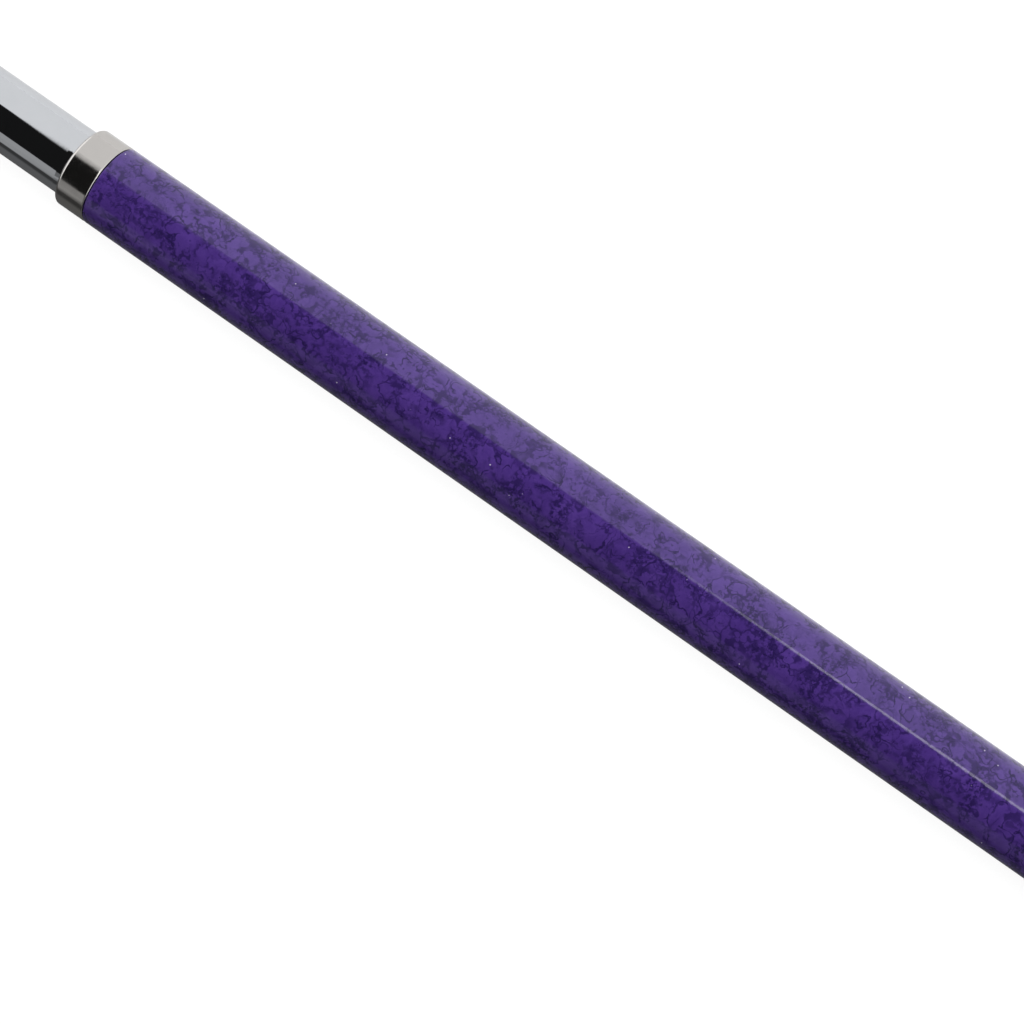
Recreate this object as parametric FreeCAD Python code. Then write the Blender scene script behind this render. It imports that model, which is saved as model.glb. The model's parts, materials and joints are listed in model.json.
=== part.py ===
"""Acrylic nail brush: marbled metal handle, nickel collar, chromed ferrule and a pointed tuft of hair.

The brush lies on its side along X, on the plane Z = 0, with its tuft towards -X and its tail towards +X.
Every piece is turned about the brush's own axis, so each one is an outline swept through a full turn.
An outline is written in stations and radii: a station is the distance in mm from the seam between
collar and handle, positive towards the tail, and a radius is the distance from the brush's axis.
"""

import FreeCAD
import Part

import math
import os

# Driving dimensions, in mm
HANDLE_R = 4.5
HANDLE_LENGTH = 126.0
HANDLE_WALL = 0.75
COLLAR_LENGTH = 3.65
COLLAR_SHOULDER = 0.4
FERRULE_R = 3.75
FERRULE_SHANK_R = 3.70
FERRULE_WALL = 0.30
FERRULE_LEAD = 0.75
FERRULE_STRAIGHT = 15.75
FERRULE_TAPER = 14.0
FERRULE_LIP = 1.0
FERRULE_BODY_BLEND = 30.0
FERRULE_LIP_BLEND = 12.0
FERRULE_INSERTED = 10.0
MOUTH_R = 2.8
HAIR_LENGTH = 20.5
HAIR_BELLY_R = 3.15
HAIR_BELLY_AT = 0.30
HAIR_TAPER_POWER = 1.7
HAIR_TIP_R = 0.12
TUFT_STEPS = 10
BEND_LIMIT_DEG = 30.0
TAIL_CAP_LENGTH = 4.2
TAIL_CAP_WALL = 0.5
TAIL_CAP_ROUND = 2.2

# Small gaps and edge breaks
GLUE_GAP = 0.02
EDGE = 0.2
TINY_EDGE = 0.08
SEAM_GAP = 0.10
SOCKET_GAP = 0.04
BEND_GAP = 0.15

# Stations along the brush
COLLAR_FRONT = -COLLAR_LENGTH
LEAD_START = COLLAR_FRONT - FERRULE_LEAD
TAPER_START = COLLAR_FRONT - FERRULE_STRAIGHT
LIP_START = TAPER_START - FERRULE_TAPER
MOUTH = LIP_START - FERRULE_LIP
HAIR_TIP = MOUTH - HAIR_LENGTH
TAIL_END = HANDLE_LENGTH + TAIL_CAP_LENGTH
MIDDLE = (HAIR_TIP + TAIL_END) / 2

# Radii that follow
HANDLE_BORE_R = HANDLE_R - HANDLE_WALL
SHANK_BORE_R = FERRULE_SHANK_R - FERRULE_WALL
MOUTH_BORE_R = MOUTH_R - FERRULE_WALL
CAP_INNER_ROUND = TAIL_CAP_ROUND - TAIL_CAP_WALL

# The plastic joiner inside ferrule and handle
JOINER_FRONT = -10.0
JOINER_REAR = 28.0
JOINER_CHAMFER = 0.5
JOINER_CORE_R = 2.1
JOINER_CORE_DEPTH = 13.0
JOINER_GROOVES = 3
JOINER_GROOVE_PITCH = 4.0
JOINER_GROOVE_WIDTH = 1.2
JOINER_GROOVE_DEPTH = 0.35

# The glued root of the hair
ROOT_REAR = MOUTH + 14.0
ROOT_R = 2.95
RESIN_FRONT = ROOT_REAR - 3.0
LASHING_TURNS = 6
THREAD_R = 0.12
LASHING_REAR = ROOT_REAR - 0.7
LASHING_FRONT = LASHING_REAR - 2 * THREAD_R * LASHING_TURNS
DOME_R = 2.35

# The bung that carries the tail cap
BUNG_HEAD = 3.2
BUNG_SHANK = 9.0
BUNG_CORE_R = 2.3
BUNG_CORE_DEPTH = 7.0

AXIS = FreeCAD.Vector(1, 0, 0)
FULL_TURN_DEG = 360
SAME_POINT = 1e-6


def place(station, radius):
    """The point of an outline, above the brush's axis, in the brush's own frame."""
    return FreeCAD.Vector(station - MIDDLE, 0, HANDLE_R + radius)


def rounded_edges(corners):
    """Edges of a closed outline. Each corner is (station, radius, rounding), and 0 leaves it sharp."""
    ends = []
    for i, (s, r, rounding) in enumerate(corners):
        here = place(s, r)
        before = place(*corners[i - 1][:2]) - here
        after = place(*corners[(i + 1) % len(corners)][:2]) - here
        if not rounding:
            ends.append((here, None, here))
            continue
        half = before.getAngle(after) / 2
        reach = rounding / math.tan(half)
        before.normalize()
        after.normalize()
        inward = before + after
        inward.normalize()
        middle = here + inward * (rounding / math.sin(half) - rounding)
        ends.append((here + before * reach, middle, here + after * reach))
    edges = []
    for i, (arrive, middle, leave) in enumerate(ends):
        if middle is not None:
            edges.append(Part.Arc(arrive, middle, leave).toShape())
        onward = ends[(i + 1) % len(ends)][0]
        if leave.distanceToPoint(onward) > SAME_POINT:
            edges.append(Part.LineSegment(leave, onward).toShape())
    return edges


def turned(edges):
    """The solid swept by a closed outline about the brush's axis."""
    face = Part.Face(Part.Wire(edges))
    solid = face.revolve(place(0, 0), AXIS, FULL_TURN_DEG)
    return solid if solid.Volume > 0 else solid.reversed()


def ferrule_outer_r(station):
    """Outside radius of the ferrule's straight and tapered stretches."""
    share = min(max((TAPER_START - station) / FERRULE_TAPER, 0), 1)
    return FERRULE_R + (MOUTH_R - FERRULE_R) * share


def ferrule_bore_r(station):
    """Inside radius of the ferrule's straight and tapered stretches."""
    return min(ferrule_outer_r(station) - FERRULE_WALL, SHANK_BORE_R)


def hair_r(share):
    """Radius of the tuft, from 0 at the ferrule's mouth to 1 at the hair's tip."""
    if share < HAIR_BELLY_AT:
        swell = math.sin(math.pi / 2 * share / HAIR_BELLY_AT)
        return MOUTH_BORE_R + (HAIR_BELLY_R - MOUTH_BORE_R) * swell
    fall = ((share - HAIR_BELLY_AT) / (1 - HAIR_BELLY_AT)) ** HAIR_TAPER_POWER
    return HAIR_TIP_R + (HAIR_BELLY_R - HAIR_TIP_R) * (1 - fall)


def handle_tube():
    """Lacquered metal tube, a hair's breadth behind the collar, with its edges broken at both ends."""
    return turned(rounded_edges([
        (SEAM_GAP, HANDLE_BORE_R, TINY_EDGE),
        (SEAM_GAP, HANDLE_R, TINY_EDGE),
        (HANDLE_LENGTH, HANDLE_R, EDGE),
        (HANDLE_LENGTH, HANDLE_BORE_R, TINY_EDGE),
    ]))


def collar_ring():
    """Nickel ring on the ferrule's shank: a rounded shoulder in front and a fine rim behind."""
    bore = FERRULE_SHANK_R + GLUE_GAP
    return turned(rounded_edges([
        (COLLAR_FRONT, bore, TINY_EDGE),
        (COLLAR_FRONT, HANDLE_R, COLLAR_SHOULDER),
        (0, HANDLE_R, EDGE),
        (0, bore, TINY_EDGE),
    ]))


def ferrule():
    """Drawn brass tube, chromed: shank, lead, straight body, taper and a short lip at the mouth."""
    return turned(rounded_edges([
        (FERRULE_INSERTED, SHANK_BORE_R, 0),
        (FERRULE_INSERTED, FERRULE_SHANK_R, TINY_EDGE),
        (COLLAR_FRONT, FERRULE_SHANK_R, 0),
        (LEAD_START, FERRULE_R, 0),
        (TAPER_START, FERRULE_R, FERRULE_BODY_BLEND),
        (LIP_START, MOUTH_R, FERRULE_LIP_BLEND),
        (MOUTH, MOUTH_R, TINY_EDGE),
        (MOUTH, MOUTH_BORE_R, TINY_EDGE),
        (LIP_START, MOUTH_BORE_R, FERRULE_LIP_BLEND),
        (TAPER_START, SHANK_BORE_R, FERRULE_BODY_BLEND),
    ]))


def ferrule_joiner():
    """Moulded stub that lines up ferrule and handle, with glue grooves and a cored rear end."""
    stub = SHANK_BORE_R - GLUE_GAP
    barrel = HANDLE_BORE_R - GLUE_GAP
    body = turned(rounded_edges([
        (JOINER_FRONT, 0, 0),
        (JOINER_FRONT, stub - JOINER_CHAMFER, 0),
        (JOINER_FRONT + JOINER_CHAMFER, stub, 0),
        (FERRULE_INSERTED + GLUE_GAP, stub, 0),
        (FERRULE_INSERTED + GLUE_GAP, barrel, TINY_EDGE),
        (JOINER_REAR, barrel, EDGE),
        (JOINER_REAR, JOINER_CORE_R, EDGE),
        (JOINER_REAR - JOINER_CORE_DEPTH, JOINER_CORE_R, EDGE),
        (JOINER_REAR - JOINER_CORE_DEPTH, 0, 0),
    ]))
    first = FERRULE_INSERTED + JOINER_GROOVE_PITCH
    for i in range(JOINER_GROOVES):
        start = first + i * JOINER_GROOVE_PITCH
        body = body.cut(turned(rounded_edges([
            (start, barrel - JOINER_GROOVE_DEPTH, 0),
            (start, HANDLE_R, 0),
            (start + JOINER_GROOVE_WIDTH, HANDLE_R, 0),
            (start + JOINER_GROOVE_WIDTH, barrel - JOINER_GROOVE_DEPTH, 0),
        ])))
    return body


def resin_plug():
    """Cured resin behind and around the rear end of the hair's root."""
    rear = JOINER_FRONT - GLUE_GAP
    back_wall = ROOT_REAR + GLUE_GAP
    recess = ROOT_R + GLUE_GAP
    return turned(rounded_edges([
        (rear, 0, 0),
        (rear, SHANK_BORE_R - GLUE_GAP, 0),
        (TAPER_START, SHANK_BORE_R - 2 * GLUE_GAP, 0),
        (RESIN_FRONT, ferrule_bore_r(RESIN_FRONT) - 2 * GLUE_GAP, 0),
        (RESIN_FRONT, recess, 0),
        (back_wall, recess, 0),
        (back_wall, 0, 0),
    ]))


def hair_root():
    """Bundle of hair roots from the resin to the mouth, ending in the dome that the tuft bends over."""
    groove_r = ROOT_R - 2 * THREAD_R - GLUE_GAP
    taper_middle = (TAPER_START + LIP_START) / 2
    at_mouth = MOUTH_BORE_R - 2 * GLUE_GAP
    return turned(rounded_edges([
        (ROOT_REAR, 0, 0),
        (ROOT_REAR, ROOT_R, EDGE),
        (LASHING_REAR, ROOT_R, 0),
        (LASHING_REAR, groove_r, 0),
        (LASHING_FRONT, groove_r, 0),
        (LASHING_FRONT, ROOT_R, 0),
        (taper_middle, ferrule_bore_r(taper_middle) - 4 * GLUE_GAP, 0),
        (LIP_START, at_mouth, 0),
        (MOUTH, at_mouth, 0),
        (MOUTH, DOME_R, 0),
        (MOUTH - DOME_R, DOME_R, DOME_R),
        (MOUTH - DOME_R, 0, 0),
    ]))


def root_lashing():
    """Thread wound tight round the root: each turn is a ring, and it shares its flanks with the next."""
    inner = ROOT_R - 2 * THREAD_R
    valley = ROOT_R - THREAD_R
    edges = []
    for i in range(LASHING_TURNS):
        start = place(LASHING_FRONT + 2 * i * THREAD_R, valley)
        crest = place(LASHING_FRONT + (2 * i + 1) * THREAD_R, ROOT_R)
        end = place(LASHING_FRONT + (2 * i + 2) * THREAD_R, valley)
        edges.append(Part.Arc(start, crest, end).toShape())
    rest = [end, place(LASHING_REAR, inner), place(LASHING_FRONT, inner), place(LASHING_FRONT, valley)]
    edges.extend(Part.LineSegment(here, there).toShape() for here, there in zip(rest, rest[1:]))
    return turned(edges)


def hair_tuft():
    """Hair beyond the mouth, hollowed at its base so that it can bend over the root's dome."""
    socket_r = DOME_R + SOCKET_GAP
    slope = math.tan(math.radians(BEND_LIMIT_DEG))
    lean = 1 + slope ** 2
    rim_r = (math.sqrt(socket_r ** 2 * lean - BEND_GAP ** 2) - slope * BEND_GAP) / lean
    rim_reach = BEND_GAP + slope * rim_r
    half_way = math.atan2(rim_r, rim_reach) / 2
    base_share = (BEND_GAP + slope * MOUTH_R) / HAIR_LENGTH
    shares = [base_share + (1 - base_share) * i / TUFT_STEPS for i in range(TUFT_STEPS + 1)]
    outside = [place(MOUTH - share * HAIR_LENGTH, hair_r(share)) for share in shares]
    side = Part.BSplineCurve()
    side.interpolate(outside)
    apex = place(MOUTH - socket_r, 0)
    middle = place(MOUTH - socket_r * math.cos(half_way), socket_r * math.sin(half_way))
    rim = place(MOUTH - rim_reach, rim_r)
    tip = place(HAIR_TIP, 0)
    return turned([
        Part.Arc(apex, middle, rim).toShape(),
        Part.LineSegment(rim, outside[0]).toShape(),
        side.toShape(),
        Part.LineSegment(outside[-1], tip).toShape(),
        Part.LineSegment(tip, apex).toShape(),
    ])


def tail_cap():
    """Nickel cup over the bung's head, with a rounded end."""
    inside = HANDLE_R - TAIL_CAP_WALL
    floor = TAIL_END - TAIL_CAP_WALL
    return turned(rounded_edges([
        (HANDLE_LENGTH, inside, TINY_EDGE),
        (HANDLE_LENGTH, HANDLE_R, EDGE),
        (TAIL_END, HANDLE_R, TAIL_CAP_ROUND),
        (TAIL_END, 0, 0),
        (floor, 0, 0),
        (floor, inside, CAP_INNER_ROUND),
    ]))


def tail_bung():
    """Moulded bung: a head inside the tail cap and a cored shank in the handle's bore."""
    head = HANDLE_R - TAIL_CAP_WALL - GLUE_GAP
    shank = HANDLE_BORE_R - GLUE_GAP
    shank_end = HANDLE_LENGTH - BUNG_SHANK
    seat = HANDLE_LENGTH + GLUE_GAP
    return turned(rounded_edges([
        (shank_end, BUNG_CORE_R, EDGE),
        (shank_end, shank, EDGE),
        (seat, shank, 0),
        (seat, head, TINY_EDGE),
        (seat + BUNG_HEAD, head, CAP_INNER_ROUND + GLUE_GAP),
        (seat + BUNG_HEAD, 0, 0),
        (shank_end + BUNG_CORE_DEPTH, 0, 0),
        (shank_end + BUNG_CORE_DEPTH, BUNG_CORE_R, EDGE),
    ]))


PIECES = [
    handle_tube,
    collar_ring,
    ferrule,
    ferrule_joiner,
    resin_plug,
    hair_root,
    root_lashing,
    hair_tuft,
    tail_cap,
    tail_bung,
]


def main():
    os.makedirs("parts", exist_ok=True)
    for make in PIECES:
        shape = make()
        shape.exportStep(os.path.join("parts", make.__name__ + ".step"))
        solids = shape.Solids
        box = shape.BoundBox
        print(
            f"{make.__name__}: {len(solids)} solid(s), valid {shape.isValid()}, "
            f"{shape.Volume:.2f} mm3, x {box.XMin:.2f} to {box.XMax:.2f}, z {box.ZMin:.2f} to {box.ZMax:.2f}"
        )


main()
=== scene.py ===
"""Looks and studio for the acrylic nail brush.

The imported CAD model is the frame. Its turned metal and plastic pieces keep their meshes and get
procedural materials. The plain hair solids are replaced by one piece made of separate hairs.
Lengths are in metres in the row frame; names ending in _MM are in millimetres.
"""

import json
import math

import bpy
import numpy as np
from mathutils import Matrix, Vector

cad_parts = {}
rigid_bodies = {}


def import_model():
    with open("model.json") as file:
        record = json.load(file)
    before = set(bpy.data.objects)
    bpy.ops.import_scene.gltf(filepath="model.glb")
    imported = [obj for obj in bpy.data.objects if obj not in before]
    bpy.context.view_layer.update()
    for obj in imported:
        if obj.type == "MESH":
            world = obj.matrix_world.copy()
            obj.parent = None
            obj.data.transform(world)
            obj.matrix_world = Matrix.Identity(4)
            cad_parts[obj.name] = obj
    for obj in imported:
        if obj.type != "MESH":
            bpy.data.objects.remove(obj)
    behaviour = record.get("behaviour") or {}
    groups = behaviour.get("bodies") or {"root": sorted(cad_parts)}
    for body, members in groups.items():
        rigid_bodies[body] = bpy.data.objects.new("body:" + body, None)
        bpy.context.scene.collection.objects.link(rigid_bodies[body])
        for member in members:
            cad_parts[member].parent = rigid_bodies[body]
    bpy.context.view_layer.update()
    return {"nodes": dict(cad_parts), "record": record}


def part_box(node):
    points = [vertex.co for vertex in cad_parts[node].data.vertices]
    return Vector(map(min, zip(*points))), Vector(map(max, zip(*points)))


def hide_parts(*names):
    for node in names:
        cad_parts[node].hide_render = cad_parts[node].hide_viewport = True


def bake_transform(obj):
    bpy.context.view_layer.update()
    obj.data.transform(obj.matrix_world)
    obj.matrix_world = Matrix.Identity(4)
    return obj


MM = 0.001

# Camera, aimed near the middle of the handle
VIEW_AZIMUTH_DEG = 35.944
VIEW_ELEVATION_DEG = 74.542
VIEW_DISTANCE = 0.29966
VIEW_LENS_MM = 105.47
SENSOR_MM = 36.0
AIM_PAST_HANDLE_MIDDLE = -0.00898
AIM_BESIDE_AXIS = -0.00389

# Studio light, as radiance: 1 is white in the picture. Directions are parts of a unit vector,
# and the head end is the end with the ferrule
WALL_BRIGHT = 1.05
WALL_EDGE_DEG = 1.0
WALL_EDGE_TURN = 0.2
WALL_EDGE_SOFT = 0.02
WALL_BLURRED_SOFT = 0.10
BLUR_AT = -0.315
BLUR_HALF = 0.045
WALL_HEAD_STEP = 0.07
HEAD_FROM = -0.345
HEAD_TO = -0.325
ROOM_DARK = 0.012
RIM_DEG = 15.0
RIM_SOFT = 0.02
RIM = 0.18
RIM_AT_HEAD = 0.42
RIM_HEAD_FROM = -0.335
RIM_HEAD_TO = -0.295
ENDS_FROM = 0.6
ENDS_TO = 0.7
ENDS_EXTRA = 0.6
LAMP_FROM = -0.13
LAMP_TO = -0.02
LAMP_HALF = 0.038
LAMP_CORE = 0.3
LAMP_EXTRA = 3.8
KEY_STRENGTH = 1.7
KEY_ANGLE_DEG = 60
KEY_TILT_DEG = 5

# Floor, and the dark cards that reflections see on it in front of the brush, as radiance
FLOOR_SIZE = 3.0
FLOOR_BEHIND = 0.78
FLOOR_LIFTED = 0.12
FLOOR_GLOW = 0.92
CARD_NEAR_MM = 10.0
CARD_FAR_MM = 23.0
CARD_SOFT_MM = 5.0
CARD_NEAR = 0.15
CARD_MIDDLE = 0.055
CARD_HEAD_FROM_MM = -60.0
CARD_HEAD_TO_MM = -45.0

# Marbling. Scales of cells and of noise are in features per millimetre. Widths, rims and radii
# in a cell are in parts of it. Noise lies about 0.5, and a pair of values says where an effect
# sets in and where it is full. Darkness runs from 0 to 1
CELLS = 0.33
OUTLINES = 0.42
OUTLINE_R = 0.50
VEIN_PATCHES = 0.45
VEIN_SWELLS = (0.38, 0.66)
VEIN_THIN = 0.018
VEIN_WIDE = 0.075
VEIN_CORE = 0.1
VEIN_DARKENS = (0.40, 0.56)
VEIN_FAINT = 0.12
CRACK_DARK = 0.7
CORNER_GROWS = (0.52, 0.80)
CRUMBS = 2.3
CRUMBS_SHOW = (0.46, 0.56)
CLUMP_DARK = 0.95
SMOKE = 1.3
SMOKE_SHOWS = (0.50, 0.60)
SMOKE_PATCHES = 0.35
SMOKE_SPREADS = (0.45, 0.65)
SMOKE_DARK = 0.70
BLOBS = 0.95
BLOB_SIZES = 0.9
BLOB_SHRINKS = (0.35, 0.65)
BLOB_LARGE = 0.72
BLOB_SMALL = 0.46
BLOB_RIM = 0.14
BLOB_PATCHES = 0.30
BLOB_SPREADS = (0.43, 0.63)
BLOB_DARK = 0.80
BUBBLES = 2.1
BUBBLE_RIM = (0.46, 0.64)
BUBBLE_PATCHES = 0.55
BUBBLE_SPREADS = (0.50, 0.60)
BUBBLE_DARK = 0.80

# How the marbling has flowed: noise in features per millimetre, and its reach in millimetres.
# Blobs and bubbles follow only a share of the fine flow
BROAD_FLOW = 0.20
BROAD_REACH = 5.0
FINE_FLOW = 1.0
FINE_REACH = 1.1
LIGHT_SHARE = 0.6

# Colours of the lacquer, its clear coat, and pale specks on it that are partly dust and partly
# painted glints. A speck's core and edge are radii in parts of its cell, and its share is how much
# of the lacquer it hides
TONE_CLOUDS = 0.9
CELL_TONE = 0.2
CLOUD_TONE = 0.9
TONE_RANGE = (0.20, 0.90)
VIOLET_DEEP = (0.040, 0.017, 0.130)
VIOLET_LIGHT = (0.066, 0.031, 0.192)
INK_CLOUDS = 1.7
INK_DEEP = (0.009, 0.0045, 0.036)
INK_LIGHT = (0.020, 0.010, 0.074)
INK_GLOSS = 0.72
GLOSS_WAVES = 0.7
GLOSS_RIPPLE = 0.008 * MM
DUST_AND_GLINTS = 0.55
DUST_AND_GLINT_CORE = 0.020
DUST_AND_GLINT_EDGE = 0.046
DUST_AND_GLINT_SHARE = 0.85
DUST_AND_GLINT_PALE = (0.75, 0.70, 0.85)

# Plating, mouldings and thread: noise in features per millimetre, how much rougher the dullest
# spots are than the glossiest, and the plating's tint at a grazing angle
CLOUD_RANGE = (0.3, 0.7)
PLATING_CLOUDS = 0.5
PLATING_RIPPLES = 1.1
PLATING_DULLER = 1.6
PLATING_EDGE = 0.80
FLOW_MARKS = 0.4
MOULDED_DULLER = 1.3
MOULDED_GRAIN = 3
THREAD_PLIES = 9
THREAD_DARK = (0.62, 0.56, 0.44)
THREAD_LIGHT = (0.86, 0.82, 0.72)
GRAIN_DEPTH = 0.02 * MM

# Sable. Places along the tuft run from 0 at the mouth to 1 at the tip
SABLE_DARK = (0.115, 0.040, 0.012)
SABLE_LIGHT = (0.36, 0.165, 0.060)
SABLE_TIP = (0.050, 0.017, 0.007)
SABLE_TIP_DARKENS = (0.45, 0.95)
SABLE_ROOT = (0.040, 0.015, 0.007)
SABLE_ROOT_FADES = (0.0, 0.12)
SABLE_ROOT_DARK = 0.6

# Hair. Depths are shares of the tuft's radius, and reaches are shares of its length
HAIRS = 1500
HAIR_SIDES = 4
HAIR_STEPS = 11
HAIR_R = 0.055 * MM
HAIR_END_R = 0.012 * MM
HAIR_HIDDEN = 1.2 * MM
HAIR_AT_MOUTH_R = 2.42 * MM
HAIR_TIP_R = 0.10 * MM
HAIR_BELLY_AT = 0.30
HAIR_TAPER_POWER = 1.7
HAIR_SEED = 7
OUTER_SHARE = 0.72
OUTER_DEPTH = (0.90, 1.0)
INNER_DEPTH = (0.55, 0.93)
OUTER_REACH = (0.80, 0.985)
INNER_REACH = (0.88, 1.0)
STEP_POWER = 0.9
THINNING_POWER = 2.2
HAIR_DRIFT = 0.05
HAIR_SWAY = 0.012
SWAY_WAVES = (5, 11)
HAIR_LEAST_R = 0.02 * MM

# Body of hair under the outer hairs, in shares of the tuft's radius and length
CORE_SIDES = 96
CORE_STEPS = 28
CORE_SHARE = 0.90
CORE_RIDGES = 0.025
CORE_TONE = 0.5
CORE_TIP_TONE = 0.2
CORE_REACH = 0.96
CORE_TIP = 0.985


def clear_scene():
    """Takes away whatever the startup file holds."""
    for thing in list(bpy.data.objects):
        bpy.data.objects.remove(thing)


class Nodes:
    """Builds a material's or world's node tree. A socket's input is a number, a colour or an output."""

    def __init__(self, owner):
        owner.use_nodes = True
        self.tree = owner.node_tree
        self.tree.nodes.clear()

    def add(self, kind, inputs=None, **settings):
        node = self.tree.nodes.new(kind)
        for name, value in settings.items():
            setattr(node, name, value)
        for name, value in (inputs or {}).items():
            socket = node.inputs[name]
            if isinstance(value, bpy.types.NodeSocket):
                self.tree.links.new(value, socket)
            elif socket.type == "RGBA":
                socket.default_value = (*value, 1)
            else:
                socket.default_value = value
        return node

    def math(self, operation, a, b=0.0):
        return self.add("ShaderNodeMath", {0: a, 1: b}, operation=operation).outputs[0]

    def product(self, a, b):
        return self.math("MULTIPLY", a, b)

    def most(self, first, *others):
        for other in others:
            first = self.math("MAXIMUM", first, other)
        return first

    def off(self, value, centre):
        """How far value is from centre, on either side."""
        return self.math("ABSOLUTE", self.math("SUBTRACT", value, centre))

    def vector(self, operation, a, b=(0, 0, 0)):
        node = self.add("ShaderNodeVectorMath", {0: a, 1: b}, operation=operation)
        return node.outputs["Value" if operation == "DOT_PRODUCT" else "Vector"]

    def times(self, vector, scale):
        node = self.add("ShaderNodeVectorMath", {"Vector": vector, "Scale": scale}, operation="SCALE")
        return node.outputs["Vector"]

    def noise(self, at, scale, detail=3.0, roughness=0.6, output="Fac"):
        """Noise about 0.5, with scale features per unit of length."""
        inputs = {"Vector": at, "Scale": scale, "Detail": detail, "Roughness": roughness}
        return self.add("ShaderNodeTexNoise", inputs).outputs[output]

    def wander(self, at, scale, reach):
        """Offset that drifts to and fro over the surface, within about a quarter of reach."""
        drift = self.vector("SUBTRACT", self.noise(at, scale, output="Color"), (0.5, 0.5, 0.5))
        return self.times(drift, reach)

    def voronoi(self, at, scale, feature, output="Distance"):
        node = self.add("ShaderNodeTexVoronoi", {"Vector": at, "Scale": scale}, feature=feature)
        return node.outputs[output]

    def ease(self, value, start, end, low=0.0, high=1.0):
        """Smooth step of value from low at start to high at end."""
        inputs = {"Value": value, "From Min": start, "From Max": end, "To Min": low, "To Max": high}
        node = self.add("ShaderNodeMapRange", inputs, interpolation_type="SMOOTHSTEP")
        return node.outputs["Result"]

    def mix(self, share, a, b):
        """Colour between a, where share is 0, and b, where share is 1."""
        inputs = {"Fac": share, "Color1": a, "Color2": b}
        return self.add("ShaderNodeMixRGB", inputs).outputs["Color"]

    def bump(self, height, distance):
        inputs = {"Height": height, "Distance": distance, "Strength": 1.0}
        return self.add("ShaderNodeBump", inputs).outputs["Normal"]

    def millimetres(self):
        """The surface point in the piece's own coordinates, in millimetres."""
        at = self.add("ShaderNodeTexCoord").outputs["Object"]
        return self.times(at, 1 / MM)

    def surface(self, inputs):
        shader = self.add("ShaderNodeBsdfPrincipled", inputs)
        self.add("ShaderNodeOutputMaterial", {"Surface": shader.outputs["BSDF"]})


def marble_veins(n, at, warped):
    """Dark outlines of rounded cells, wider and darker in some places than in others."""
    weight = n.noise(at, VEIN_PATCHES, detail=4, roughness=0.65)
    width = n.ease(weight, *VEIN_SWELLS, VEIN_THIN, VEIN_WIDE)
    core = n.product(width, VEIN_CORE)
    outline = n.off(n.voronoi(warped, OUTLINES, "F1"), OUTLINE_R)
    line = n.ease(outline, core, width, 1.0, 0.0)
    edge = n.voronoi(warped, CELLS, "DISTANCE_TO_EDGE")
    crack = n.ease(edge, core, width, CRACK_DARK, 0.0)
    return n.product(n.most(line, crack), n.ease(weight, *VEIN_DARKENS, VEIN_FAINT, 1.0))


def marble_clumps(n, at, warped):
    """Broken dark ground where cells meet."""
    corner = n.ease(n.voronoi(warped, CELLS, "F1"), *CORNER_GROWS)
    crumbs = n.ease(n.noise(at, CRUMBS, detail=4, roughness=0.7), *CRUMBS_SHOW)
    return n.product(n.product(corner, crumbs), CLUMP_DARK)


def marble_smoke(n, at, warped):
    """Soft dark wisps, in patches."""
    patch = n.ease(n.noise(at, SMOKE_PATCHES), *SMOKE_SPREADS, 0.0, SMOKE_DARK)
    wisps = n.ease(n.noise(warped, SMOKE, detail=5, roughness=0.65), *SMOKE_SHOWS)
    return n.product(wisps, patch)


def marble_pebbles(n, at, lightly):
    """Dark ground between rounded blobs, and between small bubbles, in patches."""
    brim = n.ease(n.noise(at, BLOB_SIZES), *BLOB_SHRINKS, BLOB_LARGE, BLOB_SMALL)
    blobs = n.ease(n.voronoi(lightly, BLOBS, "F1"), brim, n.math("ADD", brim, BLOB_RIM))
    blob_patch = n.ease(n.noise(at, BLOB_PATCHES), *BLOB_SPREADS, 0.0, BLOB_DARK)
    bubbles = n.ease(n.voronoi(lightly, BUBBLES, "F1"), *BUBBLE_RIM)
    bubble_noise = n.noise(at, BUBBLE_PATCHES, detail=2, roughness=0.5)
    bubble_patch = n.ease(bubble_noise, *BUBBLE_SPREADS, 0.0, BUBBLE_DARK)
    return n.most(n.product(blobs, blob_patch), n.product(bubbles, bubble_patch))


def marble_violet(n, warped):
    """Clear violet with lighter clouds, and a little lighter in some cells than in others."""
    cell = n.add("ShaderNodeSeparateColor", {"Color": n.voronoi(warped, CELLS, "F1", "Color")})
    clouds = n.product(n.noise(warped, TONE_CLOUDS, detail=4), CLOUD_TONE)
    tone = n.math("ADD", n.product(cell.outputs["Red"], CELL_TONE), clouds)
    return n.mix(n.ease(tone, *TONE_RANGE), VIOLET_DEEP, VIOLET_LIGHT)


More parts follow.
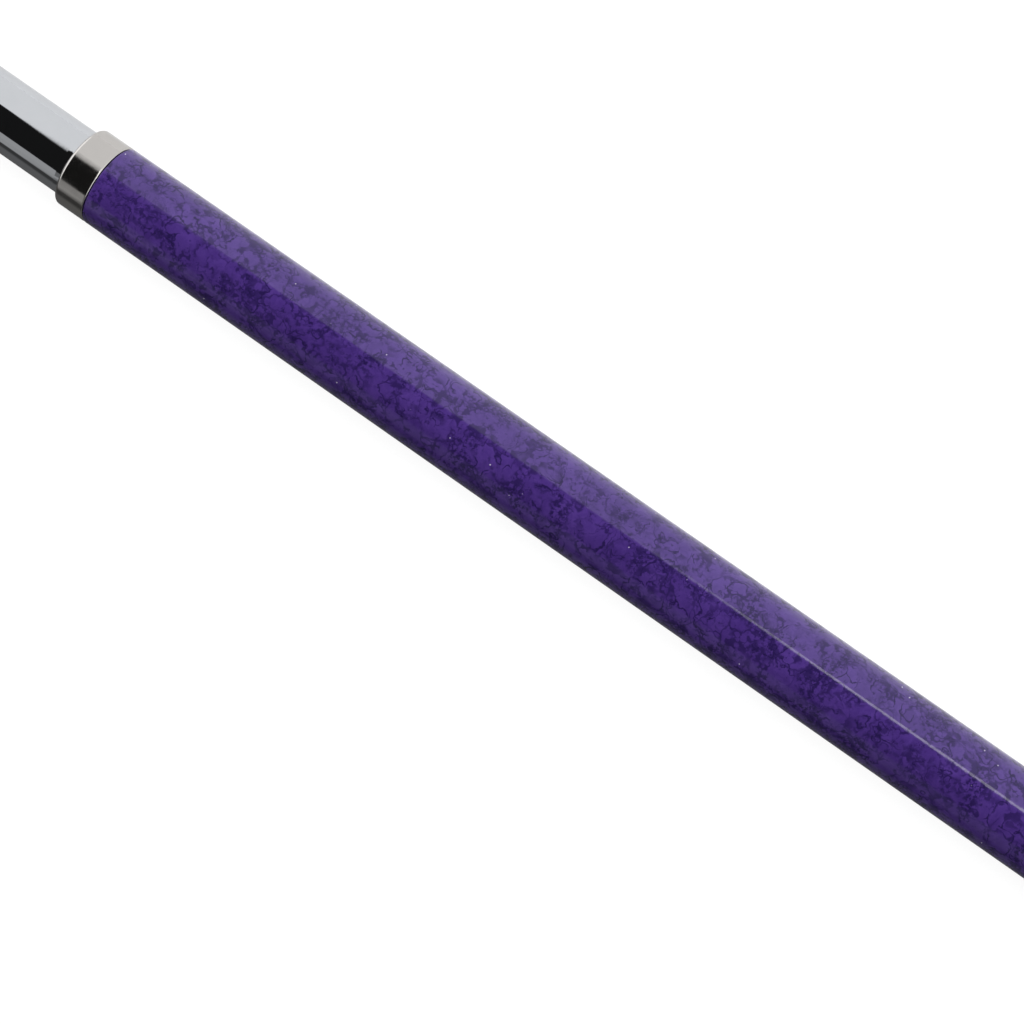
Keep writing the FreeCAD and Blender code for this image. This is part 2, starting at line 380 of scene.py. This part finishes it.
def marbled_lacquer():
    """Violet lacquer under a clear gloss coat: smooth cells, dark veins and clumps, specks of dust and
    painted glints.
    """
    material = bpy.data.materials.new("marbled_lacquer")
    n = Nodes(material)
    at = n.millimetres()
    fine = n.wander(at, FINE_FLOW, FINE_REACH)
    broad = n.wander(at, BROAD_FLOW, BROAD_REACH)
    warped = n.vector("ADD", n.vector("ADD", at, broad), fine)
    lightly = n.vector("ADD", at, n.times(fine, LIGHT_SHARE))
    dark = n.most(
        marble_veins(n, at, warped),
        marble_clumps(n, at, warped),
        marble_smoke(n, at, warped),
        marble_pebbles(n, at, lightly),
    )
    ink = n.mix(n.noise(at, INK_CLOUDS), INK_DEEP, INK_LIGHT)
    marble = n.mix(dark, marble_violet(n, warped), ink)
    # Pale specks in the base colour: partly dust, partly painted glints on the clear coat
    dust_and_glints = n.ease(n.voronoi(at, DUST_AND_GLINTS, "F1"), DUST_AND_GLINT_CORE, DUST_AND_GLINT_EDGE, DUST_AND_GLINT_SHARE, 0.0)
    waves = n.noise(at, GLOSS_WAVES, detail=5, roughness=0.65)
    n.surface({
        "Base Color": n.mix(dust_and_glints, marble, DUST_AND_GLINT_PALE),
        "Roughness": 0.5,
        "Specular IOR Level": 0.0,
        "Coat Weight": n.ease(dark, 0.0, 1.0, 1.0, INK_GLOSS),
        "Coat Roughness": 0.02,
        "Coat IOR": 1.5,
        "Coat Normal": n.bump(waves, GLOSS_RIPPLE),
    })
    return material


def plated(name, colour, shade, roughness, ripple):
    """Bright plating with clouds in its polish and faint ripples; ripple is their depth in millimetres."""
    material = bpy.data.materials.new(name)
    n = Nodes(material)
    at = n.millimetres()
    cloud = n.noise(at, PLATING_CLOUDS)
    n.surface({
        "Base Color": n.mix(cloud, colour, shade),
        "Metallic": 1.0,
        "Specular Tint": (PLATING_EDGE,) * 3,
        "Roughness": n.ease(cloud, *CLOUD_RANGE, roughness, roughness * PLATING_DULLER),
        "Normal": n.bump(n.noise(at, PLATING_RIPPLES), ripple * MM),
    })
    return material


def moulded(name, colour, shade, roughness):
    """Moulded plastic or resin with faint flow marks."""
    material = bpy.data.materials.new(name)
    n = Nodes(material)
    at = n.millimetres()
    flow = n.noise(at, FLOW_MARKS, detail=4)
    n.surface({
        "Base Color": n.mix(flow, colour, shade),
        "Roughness": n.ease(flow, *CLOUD_RANGE, roughness, roughness * MOULDED_DULLER),
        "Normal": n.bump(n.noise(at, MOULDED_GRAIN), GRAIN_DEPTH),
    })
    return material


def wound_thread():
    """Pale thread, uneven along its plies."""
    material = bpy.data.materials.new("thread")
    n = Nodes(material)
    at = n.millimetres()
    plies = n.noise(at, THREAD_PLIES, detail=2, roughness=0.5)
    n.surface({
        "Base Color": n.mix(plies, THREAD_DARK, THREAD_LIGHT),
        "Roughness": 0.85,
        "Normal": n.bump(plies, GRAIN_DEPTH),
    })
    return material


def sable_hair():
    """Warm brown that darkens towards the tuft's tip and its root, a little different on every hair."""
    material = bpy.data.materials.new("sable_hair")
    n = Nodes(material)
    along = n.add("ShaderNodeAttribute", attribute_name="along").outputs["Fac"]
    tone = n.add("ShaderNodeAttribute", attribute_name="tone").outputs["Fac"]
    brown = n.mix(tone, SABLE_DARK, SABLE_LIGHT)
    tipped = n.mix(n.ease(along, *SABLE_TIP_DARKENS), brown, SABLE_TIP)
    rooted = n.mix(n.ease(along, *SABLE_ROOT_FADES, SABLE_ROOT_DARK, 0.0), tipped, SABLE_ROOT)
    n.surface({
        "Base Color": rooted,
        "Roughness": 0.38,
        "Specular IOR Level": 0.6,
    })
    return material


def hair_envelope(share, belly_r):
    """Radius of the tuft's outside; share runs from 0 at the mouth to 1 at the tip."""
    share = np.asarray(share, float)
    swell = np.sin(np.pi / 2 * np.clip(share / HAIR_BELLY_AT, 0, 1))
    rising = HAIR_AT_MOUTH_R + (belly_r - HAIR_AT_MOUTH_R) * swell
    fall = np.clip((share - HAIR_BELLY_AT) / (1 - HAIR_BELLY_AT), 0, 1) ** HAIR_TAPER_POWER
    falling = HAIR_TIP_R + (belly_r - HAIR_TIP_R) * (1 - fall)
    return np.where(share < HAIR_BELLY_AT, rising, falling)


def tube_faces(first, rings, sides):
    """Faces of one closed tube whose rings of vertices start at first and end in a single point."""
    faces = [tuple(first + i for i in range(sides))]
    for ring in range(rings - 1):
        for i in range(sides):
            a = first + ring * sides + i
            b = first + ring * sides + (i + 1) % sides
            faces.append((a, a + sides, b + sides, b))
    last = first + (rings - 1) * sides
    faces.extend((last + i, last + sides, last + (i + 1) % sides) for i in range(sides))
    return faces


def one_hair(rng, mouth, length, belly_r, axis_z):
    """Points, radii, places along the tuft and tone of one hair."""
    outer = rng.random() < OUTER_SHARE
    depth = rng.uniform(*(OUTER_DEPTH if outer else INNER_DEPTH))
    reach = rng.uniform(*(OUTER_REACH if outer else INNER_REACH))
    start = -HAIR_HIDDEN / length
    steps = np.linspace(0, 1, HAIR_STEPS + 1)
    shares = start + (reach - start) * steps ** STEP_POWER
    angle = rng.uniform(0, 2 * math.pi)
    drift = rng.normal(0, HAIR_DRIFT)
    sway = rng.normal(0, HAIR_SWAY)
    turn = angle + drift * shares + sway * np.sin(shares * rng.uniform(*SWAY_WAVES))
    radius = depth * hair_envelope(shares, belly_r) - HAIR_R
    radius = np.maximum(radius, HAIR_LEAST_R)
    x = mouth - shares * length
    points = np.stack([x, radius * np.sin(turn), axis_z + radius * np.cos(turn)], 1)
    thickness = HAIR_END_R + (HAIR_R - HAIR_END_R) * (1 - steps ** THINNING_POWER)
    return points, thickness, shares, rng.random()


def add_tube(store, points, thickness, shares, tone, axis_z):
    """Adds one hair to the lists of vertices, faces and attributes."""
    first = len(store["vertices"])
    out = points - np.array([0, 0, axis_z])
    out[:, 0] = 0
    out /= np.linalg.norm(out, axis=1, keepdims=True)
    side = np.stack([np.zeros(len(out)), -out[:, 2], out[:, 1]], 1)
    for ring in range(len(points) - 1):
        for k in range(HAIR_SIDES):
            turn = 2 * math.pi * (k + 0.5) / HAIR_SIDES
            offset = out[ring] * math.cos(turn) + side[ring] * math.sin(turn)
            store["vertices"].append(points[ring] + thickness[ring] * offset)
            store["along"].append(shares[ring])
            store["tone"].append(tone)
    store["vertices"].append(points[-1])
    store["along"].append(shares[-1])
    store["tone"].append(tone)
    store["faces"].extend(tube_faces(first, len(points) - 1, HAIR_SIDES))


def add_core(store, rng, mouth, length, belly_r, axis_z):
    """Adds the closed, finely ridged body of hair that fills the tuft under its outer hairs."""
    first = len(store["vertices"])
    start = -HAIR_HIDDEN / length
    ridge = rng.uniform(-1, 1, CORE_SIDES)
    tones = rng.uniform(0.0, CORE_TONE, CORE_SIDES)
    for share in np.linspace(start, CORE_REACH, CORE_STEPS):
        radius = CORE_SHARE * hair_envelope(share, belly_r)
        for k in range(CORE_SIDES):
            turn = 2 * math.pi * k / CORE_SIDES
            r = radius * (1 + CORE_RIDGES * ridge[k])
            store["vertices"].append(np.array([
                mouth - share * length, r * math.sin(turn), axis_z + r * math.cos(turn)
            ]))
            store["along"].append(share)
            store["tone"].append(tones[k])
    store["vertices"].append(np.array([mouth - CORE_TIP * length, 0, axis_z]))
    store["along"].append(1.0)
    store["tone"].append(CORE_TIP_TONE)
    store["faces"].extend(tube_faces(first, CORE_STEPS, CORE_SIDES))


def make_hair(materials):
    """One piece of separate hairs, in place of the CAD's root and tuft."""
    ferrule_low, ferrule_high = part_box("ferrule")
    tuft_low, tuft_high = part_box("hair_tuft")
    mouth = ferrule_low.x
    length = mouth - tuft_low.x
    axis_z = (ferrule_low.z + ferrule_high.z) / 2
    belly_r = (tuft_high.y - tuft_low.y) / 2
    rng = np.random.default_rng(HAIR_SEED)
    store = {"vertices": [], "faces": [], "along": [], "tone": []}
    add_core(store, rng, mouth, length, belly_r, axis_z)
    for _ in range(HAIRS):
        points, thickness, shares, tone = one_hair(rng, mouth, length, belly_r, axis_z)
        add_tube(store, points, thickness, shares, tone, axis_z)
    mesh = bpy.data.meshes.new("hair")
    mesh.from_pydata([tuple(v) for v in store["vertices"]], [], store["faces"])
    mesh.polygons.foreach_set("use_smooth", [True] * len(mesh.polygons))
    for name in ("along", "tone"):
        layer = mesh.attributes.new(name, "FLOAT", "POINT")
        layer.data.foreach_set("value", np.array(store[name], np.float32))
    mesh.materials.append(materials["sable_hair"])
    hair = bpy.data.objects.new("hair", mesh)
    bpy.context.scene.collection.objects.link(hair)
    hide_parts("hair_root", "hair_tuft")
    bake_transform(hair)


def dress_cad_nodes(frame, materials):
    """Gives every CAD node its finished material."""
    for subpart in frame["record"]["subparts"]:
        node = frame["nodes"][subpart["node"]]
        for slot in node.material_slots:
            slot.material = materials[subpart["material_slot"]]


def cards_glow(n):
    """Distance in front of the brush, and the brightness of the cards and the grey rim there."""
    parts = n.add("ShaderNodeSeparateXYZ", {"Vector": n.millimetres()})
    ahead = n.product(parts.outputs["Y"], -1.0)
    cards = n.ease(ahead, CARD_NEAR_MM, CARD_NEAR_MM + CARD_SOFT_MM, CARD_NEAR, CARD_MIDDLE)
    beyond = n.ease(ahead, CARD_FAR_MM, CARD_FAR_MM + CARD_SOFT_MM)
    rim = n.ease(parts.outputs["X"], CARD_HEAD_FROM_MM, CARD_HEAD_TO_MM, RIM_AT_HEAD, RIM)
    cards = n.product(cards, n.math("SUBTRACT", 1.0, beyond))
    return ahead, n.math("ADD", cards, n.product(beyond, rim))


def make_floor():
    """Plain pale floor, lifted to white for the camera, with dark cards that only reflections see."""
    material = bpy.data.materials.new("pale_floor")
    n = Nodes(material)
    part = n.add("ShaderNodeBsdfDiffuse", {"Color": (FLOOR_LIFTED,) * 3})
    glow = n.add("ShaderNodeEmission", {"Strength": FLOOR_GLOW})
    lifted = n.add("ShaderNodeAddShader", {0: part.outputs[0], 1: glow.outputs[0]})
    behind = n.add("ShaderNodeBsdfDiffuse", {"Color": (FLOOR_BEHIND,) * 3})
    ahead, strength = cards_glow(n)
    cards = n.add("ShaderNodeEmission", {"Strength": strength})
    in_front = n.math("GREATER_THAN", ahead, 0.0)
    unseen = n.add("ShaderNodeMixShader", {0: in_front, 1: behind.outputs[0], 2: cards.outputs[0]})
    to_camera = n.add("ShaderNodeLightPath").outputs["Is Camera Ray"]
    floor_look = n.add("ShaderNodeMixShader", {0: to_camera, 1: unseen.outputs[0], 2: lifted.outputs[0]})
    n.add("ShaderNodeOutputMaterial", {"Surface": floor_look.outputs[0]})

    half = FLOOR_SIZE / 2
    mesh = bpy.data.meshes.new("floor")
    square = [(-half, -half, 0), (half, -half, 0), (half, half, 0), (-half, half, 0)]
    mesh.from_pydata(square, [], [(0, 1, 2, 3)])
    mesh.materials.append(material)
    floor = bpy.data.objects.new("floor", mesh)
    bpy.context.scene.collection.objects.link(floor)


def make_sky():
    """White studio wall behind and above the brush, bright at both ends, and an unlit room in front.

    A thin lamp runs along the wall's edge towards the tail, and a grey rim lies above the floor.
    """
    world = bpy.data.worlds.new("studio")
    bpy.context.scene.world = world
    n = Nodes(world)
    direction = n.add("ShaderNodeTexCoord").outputs["Generated"]
    parts = n.add("ShaderNodeSeparateXYZ", {"Vector": direction})
    along = parts.outputs["X"]

    edge = math.radians(WALL_EDGE_DEG)
    normal = (WALL_EDGE_TURN, math.cos(edge), -math.sin(edge))
    head_step = n.ease(along, HEAD_FROM, HEAD_TO, WALL_HEAD_STEP, 0.0)
    behind = n.math("ADD", n.vector("DOT_PRODUCT", direction, normal), head_step)
    off_blur = n.off(along, BLUR_AT)
    soft = n.ease(off_blur, BLUR_HALF / 2, BLUR_HALF, WALL_BLURRED_SOFT, WALL_EDGE_SOFT)
    wall = n.ease(behind, n.product(soft, -1.0), soft)

    low = math.sin(math.radians(RIM_DEG))
    rim_share = n.ease(along, RIM_HEAD_FROM, RIM_HEAD_TO, RIM_AT_HEAD, RIM)
    rim = n.ease(parts.outputs["Z"], low - RIM_SOFT, low + RIM_SOFT, rim_share, 0.0)
    ends = n.ease(n.math("ABSOLUTE", along), ENDS_FROM, ENDS_TO)
    colour = n.mix(n.most(wall, rim, ends), (ROOM_DARK,) * 3, (WALL_BRIGHT,) * 3)

    strip = n.ease(n.off(behind, LAMP_HALF), LAMP_CORE * LAMP_HALF, LAMP_HALF, LAMP_EXTRA, 0.0)
    lamp = n.product(strip, n.ease(along, LAMP_FROM, LAMP_TO))
    extra = n.math("ADD", lamp, n.product(ends, ENDS_EXTRA))
    strength = n.math("ADD", 1.0, extra)
    background = n.add("ShaderNodeBackground", {"Color": colour, "Strength": strength})
    n.add("ShaderNodeOutputWorld", {"Surface": background.outputs[0]})


def make_key():
    """Broad soft light from above and behind, kept out of reflections."""
    light = bpy.data.lights.new("key", "SUN")
    light.energy = KEY_STRENGTH
    light.angle = math.radians(KEY_ANGLE_DEG)
    key = bpy.data.objects.new("key", light)
    key.rotation_euler = (-math.radians(KEY_TILT_DEG), 0, 0)
    key.visible_glossy = False
    bpy.context.scene.collection.objects.link(key)


def make_camera():
    """Camera above the brush, turned about the vertical from its length."""
    low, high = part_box("handle_tube")
    aim = Vector((
        (low.x + high.x) / 2 + AIM_PAST_HANDLE_MIDDLE,
        (low.y + high.y) / 2 + AIM_BESIDE_AXIS,
        (low.z + high.z) / 2,
    ))
    azimuth = math.radians(VIEW_AZIMUTH_DEG)
    elevation = math.radians(VIEW_ELEVATION_DEG)
    back = Vector((
        math.sin(azimuth) * math.cos(elevation),
        -math.cos(azimuth) * math.cos(elevation),
        math.sin(elevation),
    ))
    camera = bpy.data.objects.new("camera", bpy.data.cameras.new("camera"))
    camera.data.lens = VIEW_LENS_MM
    camera.data.sensor_width = SENSOR_MM
    camera.location = aim + back * VIEW_DISTANCE
    camera.rotation_euler = (-back).to_track_quat("-Z", "Y").to_euler()
    bpy.context.scene.collection.objects.link(camera)
    bpy.context.scene.camera = camera


def make_materials():
    """Finished materials by the name of their slot."""
    return {
        "marbled_lacquer": marbled_lacquer(),
        "nickel": plated(
            "nickel",
            colour=(0.52, 0.50, 0.48),
            shade=(0.48, 0.465, 0.45),
            roughness=0.105,
            ripple=0.003,
        ),
        "ferrule_chrome": plated(
            "ferrule_chrome",
            colour=(0.575, 0.59, 0.615),
            shade=(0.54, 0.555, 0.58),
            roughness=0.035,
            ripple=0.002,
        ),
        "white_plastic": moulded(
            "white_plastic",
            colour=(0.80, 0.79, 0.75),
            shade=(0.72, 0.71, 0.66),
            roughness=0.5,
        ),
        "amber_resin": moulded(
            "amber_resin",
            colour=(0.50, 0.30, 0.10),
            shade=(0.36, 0.19, 0.05),
            roughness=0.2,
        ),
        "sable_hair": sable_hair(),
        "thread": wound_thread(),
    }


clear_scene()
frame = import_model()
bpy.context.scene.view_settings.view_transform = "Standard"
materials = make_materials()
dress_cad_nodes(frame, materials)
make_hair(materials)
make_floor()
make_sky()
make_key()
make_camera()
